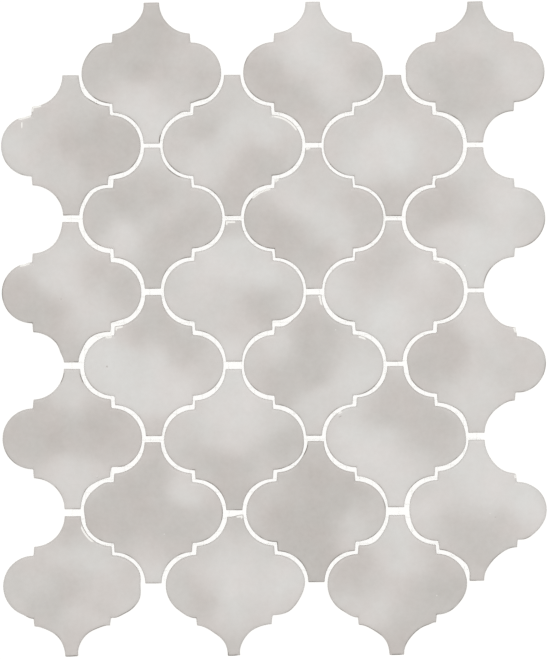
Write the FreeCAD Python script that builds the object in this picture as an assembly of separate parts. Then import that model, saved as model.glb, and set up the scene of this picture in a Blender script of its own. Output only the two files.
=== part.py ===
"""Mosaic sheet of Moroccan arabesque tiles on a backing net, in millimetres.

Twenty-four lantern-shaped tiles stand in eight staggered rows of three. Each tile is one
pressed and glazed piece: round bulbs left and right, a narrow square-ended neck at top and
bottom, and a small upright step where a bulb meets a shoulder. Two layers of threads, laid
across each other, are glued under the backs and hold the sheet together.

The sheet lies face up. The origin is the middle of its footprint, on the floor, with
+X to the right, +Y to the top of the sheet and +Z out of the glazed face.
"""

import FreeCAD
import Part

import math
import os

# Layout of the sheet
ROW_COUNT = 8
TILES_PER_ROW = 3
COLUMN_PITCH = 37.1  # sideways shift from one row to the next, half of a row's own spacing
ROW_PITCH = 33.6  # height of one row above the next

# Open joints between the tiles
NECK_END_JOINT = 2.3  # between the square ends of two necks
NECK_SIDE_JOINT = 1.2  # between a bulb's tip and the necks beside it
BULB_JOINT = 1.45  # between the top of a bulb and the shoulder that it nests in
STEP_JOINT = 1.3  # between two steps

# Outline of one tile, seen from above
NECK_WIDTH = 7.6
STEP_HEIGHT = 4.15  # from the top of a bulb up to the lowest point of a shoulder
STEP_SLANT_DEG = 4.0  # the step leans out towards the bulb

# Section of one tile
TILE_THICKNESS = 8.0
FACE_EDGE_DROP = 0.7  # the glazed edge falls this far below the face
FACE_EDGE_INSET = 0.8  # and starts this far in from the side wall
GROOVE_DEPTH = 0.6  # keying grooves pressed into the back
GROOVE_WIDTH = 3.0
GROOVE_PITCH = 8.0
GROOVE_BORDER = 4.0  # plain border left round the grooves

# Backing net
THREAD_PITCH = 6.0
THREAD_WIDTH = 0.7
THREAD_THICKNESS = 0.2
THREAD_EDGE = 0.15  # width of the slope along each side of a flattened thread
NET_SETBACK = 1.5  # the net is cut this far inside the tiles' outer edges

# Worked out from the values above: a bulb and a shoulder's hollow arc share each row's height,
# and a bulb reaches sideways as far as the necks beside it allow.
TILE_HEIGHT = 2 * ROW_PITCH - NECK_END_JOINT
BULB_RADIUS = (ROW_PITCH - STEP_HEIGHT - BULB_JOINT) / 2
BULB_CENTRE_X = COLUMN_PITCH - NECK_WIDTH / 2 - NECK_SIDE_JOINT - BULB_RADIUS
SHOULDER_RADIUS = BULB_RADIUS + BULB_JOINT - NECK_END_JOINT / 2
SHOULDER_CENTRE_X = NECK_WIDTH / 2 + SHOULDER_RADIUS
SHOULDER_CENTRE_Y = TILE_HEIGHT / 2
TILE_WIDTH = 2 * (BULB_CENTRE_X + BULB_RADIUS)
SHEET_WIDTH = (2 * TILES_PER_ROW - 1) * COLUMN_PITCH + TILE_WIDTH
SHEET_HEIGHT = (ROW_COUNT - 1) * ROW_PITCH + TILE_HEIGHT
NET_THICKNESS = 2 * THREAD_THICKNESS
SHORTEST_THREAD = THREAD_PITCH + 2 * THREAD_WIDTH  # a shorter one may cross no other and falls off

COLUMN_NAMES = ["left", "middle", "right"]
ROUNDING = 1e-6  # keeps a whole number of pitches whole


def vector(x, y, z=0.0):
    """Return a point or direction."""
    return FreeCAD.Vector(x, y, z)


def step_x(y, grow):
    """Return the half width at height y of the line that a step lies on."""
    lean = math.radians(STEP_SLANT_DEG)
    middle_x = COLUMN_PITCH / 2 - STEP_JOINT / 2 / math.cos(lean)
    return middle_x + grow / math.cos(lean) + (ROW_PITCH / 2 - y) * math.tan(lean)


def line_meets_circle(centre_x, centre_y, radius, grow, side):
    """Return the point where the step's line crosses a circle, above (1) or below (-1) its centre."""
    lean = math.tan(math.radians(STEP_SLANT_DEG))
    x_at_centre = step_x(centre_y, grow) - centre_x
    # The line is x = x_at_centre - lean * y, measured from the circle's centre.
    a = 1 + lean**2
    b = -2 * lean * x_at_centre
    c = x_at_centre**2 - radius**2
    y = (-b + side * math.sqrt(b * b - 4 * a * c)) / (2 * a)
    return vector(centre_x + x_at_centre - lean * y, centre_y + y)


def corner_points(grow):
    """Return the five points that one quarter of the outline turns at, from bulb to neck."""
    bulb = BULB_RADIUS + grow
    shoulder = SHOULDER_RADIUS - grow
    neck_end_y = TILE_HEIGHT / 2 + grow
    rise = neck_end_y - SHOULDER_CENTRE_Y
    return {
        "bulb_tip": vector(BULB_CENTRE_X + bulb, 0),
        "step_foot": line_meets_circle(BULB_CENTRE_X, 0, bulb, grow, 1),
        "step_head": line_meets_circle(SHOULDER_CENTRE_X, SHOULDER_CENTRE_Y, shoulder, grow, -1),
        "neck_corner": vector(SHOULDER_CENTRE_X - math.sqrt(shoulder**2 - rise**2), neck_end_y),
    }


def arc_between(start, end, centre, radius):
    """Return the short arc from start to end about centre."""
    middle = (start + end) * 0.5 - centre
    return Part.Arc(start, centre + middle.normalize() * radius, end).toShape()


def tile_outline(grow, z):
    """Return the tile's closed outline at height z, moved outwards by grow."""
    points = corner_points(grow)
    bulb_centre = vector(BULB_CENTRE_X, 0)
    shoulder_centre = vector(SHOULDER_CENTRE_X, SHOULDER_CENTRE_Y)
    edges = []
    for flip_x, flip_y in ((1, 1), (-1, 1), (-1, -1), (1, -1)):

        def place(point):
            return vector(flip_x * point.x, flip_y * point.y, z)

        quarter = [
            arc_between(place(points["bulb_tip"]), place(points["step_foot"]),
                        place(bulb_centre), BULB_RADIUS + grow),
            Part.LineSegment(place(points["step_foot"]), place(points["step_head"])).toShape(),
            arc_between(place(points["step_head"]), place(points["neck_corner"]),
                        place(shoulder_centre), SHOULDER_RADIUS - grow),
        ]
        edges += quarter if flip_x == flip_y else quarter[::-1]
        if flip_x == flip_y:
            edges.append(Part.LineSegment(place(points["neck_corner"]),
                                          vector(-flip_x * points["neck_corner"].x,
                                                 flip_y * points["neck_corner"].y, z)).toShape())
    return Part.Wire(edges)


def half_width_at(y, grow):
    """Return half the tile's width at height y, or 0 above its neck."""
    y = abs(y)
    points = corner_points(grow)
    if y >= points["neck_corner"].y:
        return 0.0
    if y >= points["step_head"].y:
        drop = y - SHOULDER_CENTRE_Y
        return SHOULDER_CENTRE_X - math.sqrt((SHOULDER_RADIUS - grow) ** 2 - drop**2)
    if y >= points["step_foot"].y:
        return step_x(y, grow)
    return BULB_CENTRE_X + math.sqrt((BULB_RADIUS + grow) ** 2 - y**2)


def half_height_at(x, grow):
    """Return half the tile's height at distance x from its middle, or 0 beside its bulb."""
    x = abs(x)
    points = corner_points(grow)
    if x >= points["bulb_tip"].x:
        return 0.0
    if x >= points["step_head"].x:
        return math.sqrt((BULB_RADIUS + grow) ** 2 - (x - BULB_CENTRE_X) ** 2)
    if x >= points["neck_corner"].x:
        side = x - SHOULDER_CENTRE_X
        return SHOULDER_CENTRE_Y - math.sqrt((SHOULDER_RADIUS - grow) ** 2 - side**2)
    return points["neck_corner"].y


def keying_grooves():
    """Return the grooves in a tile's back, shortened to leave the plain border all round."""
    reach = TILE_HEIGHT / 2 - GROOVE_BORDER - GROOVE_WIDTH / 2
    count_each_side = math.floor(reach / GROOVE_PITCH + ROUNDING)
    grooves = []
    for index in range(-count_each_side, count_each_side + 1):
        y = index * GROOVE_PITCH
        edges = (y - GROOVE_WIDTH / 2, y + GROOVE_WIDTH / 2)
        half_length = min(half_width_at(edge, 0) for edge in edges) - GROOVE_BORDER
        if half_length > GROOVE_WIDTH:
            grooves.append(Part.makeBox(2 * half_length, GROOVE_WIDTH, GROOVE_DEPTH,
                                        vector(-half_length, edges[0], 0)))
    return grooves


def make_tile():
    """Return one tile with its back on z = 0: side wall, sloping glazed edge, grooved back."""
    wall_top = TILE_THICKNESS - FACE_EDGE_DROP
    body = Part.Face(tile_outline(0, 0)).extrude(vector(0, 0, wall_top))
    crown = Part.makeLoft([tile_outline(0, wall_top),
                           tile_outline(-FACE_EDGE_INSET, TILE_THICKNESS)], True, True)
    tile = body.fuse(crown).removeSplitter()
    return tile.cut(keying_grooves())


def tile_centre(row, column):
    """Return the centre of a place in the staggered pattern. Row 0 is at the top."""
    x = (column - (2 * TILES_PER_ROW - 1) / 2) * COLUMN_PITCH
    y = ((ROW_COUNT - 1) / 2 - row) * ROW_PITCH
    return vector(x, y)


def in_sheet(row, column):
    """Return whether a place in the pattern belongs to this sheet."""
    return 0 <= row < ROW_COUNT and 0 <= column < 2 * TILES_PER_ROW


def pattern_places():
    """Return the places of this sheet's tiles and of the ring of tiles that would surround it."""
    return [(row, column)
            for row in range(-2, ROW_COUNT + 2)
            for column in range(-2, 2 * TILES_PER_ROW + 2)
            if (row + column) % 2 == 1]


def tile_name(row, column):
    """Return a tile's name, such as tile_row_3_middle, counting rows from the top."""
    return f"tile_row_{row + 1}_{COLUMN_NAMES[column // 2]}"


def clear_spans(low, high, blocked):
    """Return the stretches from low to high that no blocked stretch covers."""
    spans = []
    for start, end in sorted(blocked):
        if start > low:
            spans.append((low, min(start, high)))
        low = max(low, end)
    spans.append((low, high))
    return [(start, end) for start, end in spans if end - start >= SHORTEST_THREAD]


def blocked_by_next_sheets(position, lengthwise):
    """Return the stretches of a thread's line that the surrounding sheets' tiles will need."""
    blocked = []
    for row, column in pattern_places():
        if in_sheet(row, column):
            continue
        centre = tile_centre(row, column)
        if lengthwise:
            half = reach_along(position - centre.x, half_height_at)
            middle = centre.y
        else:
            half = reach_along(position - centre.y, half_width_at)
            middle = centre.x
        if half > 0:
            blocked.append((middle - half, middle + half))
    return blocked


def reach_along(offset, half_size_at):
    """Return the half length that a surrounding tile, with its joint and setback, takes of a thread."""
    clearance = STEP_JOINT + NET_SETBACK
    return max(half_size_at(offset + side * THREAD_WIDTH / 2, clearance) for side in (-1, 0, 1))


def thread_profile(z):
    """Return a flattened thread's closed section across X, with its underside at height z."""
    half = THREAD_WIDTH / 2
    inner = half - THREAD_EDGE
    corners = [(-inner, 0), (inner, 0), (half, THREAD_THICKNESS / 2), (inner, THREAD_THICKNESS),
               (-inner, THREAD_THICKNESS), (-half, THREAD_THICKNESS / 2)]
    points = [vector(x, 0, z + height) for x, height in corners]
    return Part.makePolygon(points + points[:1])


def thread_positions(extent):
    """Return evenly spaced thread positions inside an extent, about its middle."""
    pitches = (extent - 2 * NET_SETBACK - THREAD_WIDTH) / THREAD_PITCH
    count = math.floor(pitches + ROUNDING)
    return [(index - count / 2) * THREAD_PITCH for index in range(count + 1)]


def make_threads(lengthwise):
    """Return one layer of the net: lengthwise threads underneath, crosswise threads on them."""
    across, along = (SHEET_WIDTH, SHEET_HEIGHT) if lengthwise else (SHEET_HEIGHT, SHEET_WIDTH)
    z = 0 if lengthwise else THREAD_THICKNESS
    section = Part.Face(thread_profile(z))
    end = along / 2 - NET_SETBACK
    threads = []
    for position in thread_positions(across):
        for start, stop in clear_spans(-end, end, blocked_by_next_sheets(position, lengthwise)):
            thread = section.extrude(vector(0, stop - start, 0))
            if lengthwise:
                thread.translate(vector(position, start, 0))
            else:
                thread.rotate(vector(0, 0), vector(0, 0, 1), -90)
                thread.translate(vector(start, position, 0))
            threads.append(thread)
    return Part.makeCompound(threads)


def export(shape, name):
    """Write one node's file."""
    shape.exportStep(os.path.join("parts", name + ".step"))


def main():
    """Build every tile and both layers of the net."""
    os.makedirs("parts", exist_ok=True)
    tile = make_tile()
    for row, column in pattern_places():
        if in_sheet(row, column):
            placed = tile.copy()
            placed.translate(tile_centre(row, column) + vector(0, 0, NET_THICKNESS))
            export(placed, tile_name(row, column))
    export(make_threads(True), "net_lengthwise_threads")
    export(make_threads(False), "net_crosswise_threads")


main()
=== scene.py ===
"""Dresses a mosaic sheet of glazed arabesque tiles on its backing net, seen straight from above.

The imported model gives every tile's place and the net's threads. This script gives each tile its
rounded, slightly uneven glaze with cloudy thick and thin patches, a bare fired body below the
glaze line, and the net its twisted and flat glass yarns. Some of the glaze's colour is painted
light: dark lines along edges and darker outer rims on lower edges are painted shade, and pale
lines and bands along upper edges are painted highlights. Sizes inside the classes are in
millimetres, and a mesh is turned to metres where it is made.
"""

import logging
import math
from dataclasses import dataclass, field
from enum import Enum
from functools import partial
from typing import Any, Iterable

import bmesh
import bpy
from mathutils import Matrix, Vector, geometry, noise


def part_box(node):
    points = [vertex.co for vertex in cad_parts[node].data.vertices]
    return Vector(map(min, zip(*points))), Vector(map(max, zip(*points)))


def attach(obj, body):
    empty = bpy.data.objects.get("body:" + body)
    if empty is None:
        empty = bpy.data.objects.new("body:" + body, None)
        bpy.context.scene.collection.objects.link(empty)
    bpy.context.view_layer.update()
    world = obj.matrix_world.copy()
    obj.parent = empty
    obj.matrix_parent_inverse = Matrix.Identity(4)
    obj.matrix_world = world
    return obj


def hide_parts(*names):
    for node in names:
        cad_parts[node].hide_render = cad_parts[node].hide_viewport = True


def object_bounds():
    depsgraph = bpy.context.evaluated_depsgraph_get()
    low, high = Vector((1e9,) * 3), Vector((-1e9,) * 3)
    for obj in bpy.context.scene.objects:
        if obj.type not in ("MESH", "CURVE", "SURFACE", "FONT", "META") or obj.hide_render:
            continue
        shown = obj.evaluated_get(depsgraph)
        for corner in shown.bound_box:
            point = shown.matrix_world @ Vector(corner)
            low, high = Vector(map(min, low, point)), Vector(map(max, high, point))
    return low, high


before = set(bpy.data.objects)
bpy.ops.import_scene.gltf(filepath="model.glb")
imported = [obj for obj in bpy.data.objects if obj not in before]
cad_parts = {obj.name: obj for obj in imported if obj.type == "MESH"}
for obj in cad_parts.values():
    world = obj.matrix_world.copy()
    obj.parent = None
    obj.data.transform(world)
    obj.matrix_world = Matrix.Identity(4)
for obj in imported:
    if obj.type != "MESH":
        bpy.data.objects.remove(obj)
cad_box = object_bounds()

LOG = logging.getLogger("arabesque_sheet")
ROOT_BODY = "root"
LENGTHWISE_NODE = "net_lengthwise_threads"
CROSSWISE_NODE = "net_crosswise_threads"
MM = 0.001

MIX_COLOUR_A = 6
MIX_COLOUR_B = 7
MIX_COLOUR_RESULT = 2

Point = tuple[float, float]
Colour = tuple[float, float, float, float]


def linear(hex_colour: str) -> Colour:
    """Turn an sRGB hex colour into the linear colour that a node takes.

    Args:
        hex_colour: Six hex digits after a leading mark, such as "#CFCBC7".

    Returns:
        Red, green and blue as linear light, and an alpha of 1.
    """
    channels = []
    for start in (1, 3, 5):
        value = int(hex_colour[start:start + 2], 16) / 255
        channels.append(value / 12.92 if value <= 0.04045 else ((value + 0.055) / 1.055) ** 2.4)
    return (channels[0], channels[1], channels[2], 1.0)


def add_node(tree: bpy.types.NodeTree, kind: str, inputs: dict[Any, Any] | None = None,
             **settings: Any) -> bpy.types.Node:
    """Add one node to a tree, with its settings, its input values and its links.

    Args:
        tree: The tree that gets the node.
        kind: The node's type name.
        inputs: For each input, by name or index, a value, another node's output socket, or a
            list of output sockets.
        **settings: Properties of the node itself.

    Returns:
        The new node.
    """
    node = tree.nodes.new(kind)
    for name, value in settings.items():
        setattr(node, name, value)
    for key, value in (inputs or {}).items():
        for source in value if isinstance(value, list) else [value]:
            if isinstance(source, bpy.types.NodeSocket):
                tree.links.new(source, node.inputs[key])
            else:
                node.inputs[key].default_value = source
    return node


def compute(tree: bpy.types.NodeTree, operation: str, *values: Any) -> bpy.types.NodeSocket:
    """Add one sum on numbers, given in the node's own order, and return its result."""
    node = add_node(tree, "ShaderNodeMath", dict(enumerate(values)), operation=operation)
    return node.outputs[0]


def compute_vector(tree: bpy.types.NodeTree, operation: str, *values: Any) -> bpy.types.NodeSocket:
    """Add one sum on vectors, given in the node's own order, and return its result."""
    node = add_node(tree, "ShaderNodeVectorMath", dict(enumerate(values)), operation=operation)
    return node.outputs[0]


def noise_pattern(tree: bpy.types.NodeTree, place: bpy.types.NodeSocket, size: float,
                  detail: float, roughness: float = 0.5) -> bpy.types.NodeSocket:
    """Add smooth noise to a material.

    Args:
        tree: The material's tree.
        place: The place that the noise is read at.
        size: Size of its patches, in millimetres.
        detail: How many finer layers it has.
        roughness: How strong the finer layers are.

    Returns:
        The noise's value, from 0 to 1.
    """
    return add_node(tree, "ShaderNodeTexNoise", {
        "Vector": place, "Scale": 1 / (size * MM), "Detail": detail,
        "Roughness": roughness}).outputs["Fac"]


def colour_ramp(tree: bpy.types.NodeTree, factor: bpy.types.NodeSocket,
                stops: dict[float, str]) -> bpy.types.NodeSocket:
    """Add a colour ramp.

    Args:
        tree: The material's tree.
        factor: The value that picks the colour.
        stops: Position and sRGB hex colour of each stop, from low to high.

    Returns:
        The colour.
    """
    ramp = add_node(tree, "ShaderNodeValToRGB", {"Fac": factor})
    elements = ramp.color_ramp.elements
    while len(elements) < len(stops):
        elements.new(1.0)
    for element, (position, colour) in zip(elements, stops.items()):
        element.position = position
        element.color = linear(colour)
    return ramp.outputs["Color"]


def mix_colours(tree: bpy.types.NodeTree, factor: Any, first: Any, second: Any,
                blend_type: str = "MIX") -> bpy.types.NodeSocket:
    """Add a mix of two colours, each a value or a socket, and return the mixed colour."""
    mixed = add_node(tree, "ShaderNodeMix", {
        "Factor": factor, MIX_COLOUR_A: first, MIX_COLOUR_B: second},
        data_type="RGBA", blend_type=blend_type)
    return mixed.outputs[MIX_COLOUR_RESULT]


def finish_surface(tree: bpy.types.NodeTree, height: bpy.types.NodeSocket, relief: float,
                   inputs: dict[str, Any]) -> None:
    """End a material with a surface that a pattern makes uneven.

    Args:
        tree: The material's tree.
        height: The pattern.
        relief: How high it stands, in millimetres.
        inputs: The surface shader's other inputs.
    """
    bump = add_node(tree, "ShaderNodeBump", {"Height": height, "Distance": relief * MM})
    surface = add_node(tree, "ShaderNodeBsdfPrincipled",
                       inputs | {"Normal": bump.outputs["Normal"]})
    add_node(tree, "ShaderNodeOutputMaterial", {"Surface": surface.outputs["BSDF"]})


def seen_directly(tree: bpy.types.NodeTree) -> bpy.types.NodeSocket:
    """Return 1 for what the camera sees, also mirrored or through glass, and 0 for all else."""
    path = add_node(tree, "ShaderNodeLightPath")
    seen = compute(tree, "MAXIMUM", path.outputs["Is Camera Ray"], path.outputs["Is Glossy Ray"])
    return compute(tree, "MAXIMUM", seen, path.outputs["Is Transmission Ray"])


def new_material(name: str) -> tuple[bpy.types.Material, bpy.types.NodeTree]:
    """Make an empty node material.

    Args:
        name: The material's name.

    Returns:
        The material and its emptied node tree.
    """
    material = bpy.data.materials.new(name)
    material.use_nodes = True
    material.node_tree.nodes.clear()
    return material, material.node_tree


def new_piece(name: str, mesh: bpy.types.Mesh) -> bpy.types.Object:
    """Put a mesh in the scene as a piece of its own.

    Args:
        name: The piece's name.
        mesh: Its mesh, with its place in the vertices.

    Returns:
        The new object, at the origin.
    """
    piece = bpy.data.objects.new(name, mesh)
    bpy.context.scene.collection.objects.link(piece)
    return piece


def new_geometry_tree(name: str, sizes: dict[str, str]) -> tuple[bpy.types.NodeTree, bpy.types.Node]:
    """Make a Geometry Nodes tree that takes and gives one geometry.

    Args:
        name: The tree's name.
        sizes: Name and socket type of each further input.

    Returns:
        The tree and its input node.
    """
    tree = bpy.data.node_groups.new(name, "GeometryNodeTree")
    tree.interface.new_socket("Geometry", in_out="INPUT", socket_type="NodeSocketGeometry")
    tree.interface.new_socket("Geometry", in_out="OUTPUT", socket_type="NodeSocketGeometry")
    for socket_name, kind in sizes.items():
        tree.interface.new_socket(socket_name, in_out="INPUT", socket_type=kind)
    return tree, add_node(tree, "NodeGroupInput")


def run_geometry_tree(piece: bpy.types.Object, tree: bpy.types.NodeTree,
                      values: dict[str, float]) -> None:
    """Run a Geometry Nodes tree on a piece and keep the plain mesh that it makes.

    Args:
        piece: The object whose mesh goes in and is replaced.
        tree: The tree.
        values: A value for each of the tree's named inputs.
    """
    modifier = piece.modifiers.new(tree.name, "NODES")
    modifier.node_group = tree
    for item in tree.interface.items_tree:
        if item.in_out == "INPUT" and item.name in values:
            modifier[item.identifier] = values[item.name]
    depsgraph = bpy.context.evaluated_depsgraph_get()
    mesh = bpy.data.meshes.new_from_object(piece.evaluated_get(depsgraph),
                                           preserve_all_data_layers=True, depsgraph=depsgraph)
    piece.modifiers.remove(modifier)
    before = piece.data
    piece.data = mesh
    bpy.data.meshes.remove(before)
    mesh.name = piece.name


def smooth_step(low: float, high: float, value: float) -> float:
    """Return 0 below low, 1 above high, and an even curve between them."""
    share = min(max((value - low) / (high - low), 0.0), 1.0)
    return share * share * (3 - 2 * share)


class Spot(Enum):
    """A region of a tile's face, as shares of its half width and half height."""

    CENTRE = (0.0, 0.0)
    NECK = (0.0, 0.85)
    TOP = (0.0, 0.48)
    BOTTOM = (0.0, -0.48)
    FOOT = (0.0, -0.85)
    LEFT = (-0.75, 0.0)
    RIGHT = (0.75, 0.0)
    UPPER_LEFT = (-0.42, 0.27)
    UPPER_RIGHT = (0.42, 0.27)
    LOWER_LEFT = (-0.42, -0.27)
    LOWER_RIGHT = (0.42, -0.27)


class Batch(Enum):
    """How deep a tile's glaze came out of the kiln as a whole, as a share of the glaze's range."""

    PALE = -0.12
    LIGHT = -0.06
    COMMON = 0.0
    FULL = 0.06
    DEEP = 0.12


class Nudge(Enum):
    """One small step off the even pattern that a tile was laid by, in millimetres."""

    LEFT = (-0.2, 0.0)
    RIGHT = (0.2, 0.0)
    UP = (0.0, 0.2)
    DOWN = (0.0, -0.2)


class Fault(Enum):
    """A small fault of a tile's edge or glaze, or light and shade painted along an edge."""

    NIP = "edge pressed in"
    SWELL = "edge standing out"
    # A chip presses the edge in, and its pale patch is partly bare body and partly a painted
    # highlight.
    CHIP_AND_HIGHLIGHT = "edge pressed in and bare"
    # Painted highlight: a pale band at the very edge of an upper rim.
    PAINTED_HIGHLIGHT_EDGE = "glaze drawn back from the very edge"
    # Painted highlight: a pale line just inside the glossy rim of an upper edge.
    PAINTED_HIGHLIGHT_LINE = "pale line just inside a glazed edge"
    # Painted shade: a dark line painted along part of an edge.
    PAINTED_SHADE_EDGE = "glaze gathered along the edge"
    PINHOLE = "burst bubble"
    PALE_SPECK = "speck where the body shows"
    SCRATCH = "short upright scratch down to the body"


@dataclass(frozen=True)
class Mark:
    """One fault, in millimetres from the tile's centre, with half its length.

    Its depth is how far a nip, swell or chip moves the edge, or how dark a painted shade line
    along an edge is, where 1 matches the thickest cloud and 2 is nearly black. Its fade is how
    far from the edge the body still moves with it.
    """

    fault: Fault
    x: float
    y: float
    reach: float = 0.4
    depth: float = 0.0
    fade: float = 6.0


@dataclass(frozen=True)
class TileLook:
    """What sets one tile apart from the others.

    The first four fields name the spots where its glaze lies very thick, thick, thin and very
    thin.
    """

    pooled: tuple[Spot, ...] = ()
    thick: tuple[Spot, ...] = ()
    thin: tuple[Spot, ...] = ()
    drained: tuple[Spot, ...] = ()
    batch: Batch = Batch.COMMON
    laid: tuple[Nudge, ...] = ()
    marks: tuple[Mark, ...] = ()


CENTRE, NECK, TOP, BOTTOM, FOOT, LEFT, RIGHT, UPPER_LEFT, UPPER_RIGHT, LOWER_LEFT, LOWER_RIGHT = Spot
# Shorthands for the faults. The dark edge lines are painted shade, the pale edge lines and bands are
# painted highlights, and a chip's pale patch is partly a painted highlight.
nip, swell, chip_and_highlight, painted_highlight_edge, painted_highlight_line, painted_shade_edge, pinhole, pale_speck, scratch = (
    partial(Mark, fault) for fault in Fault)
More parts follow.
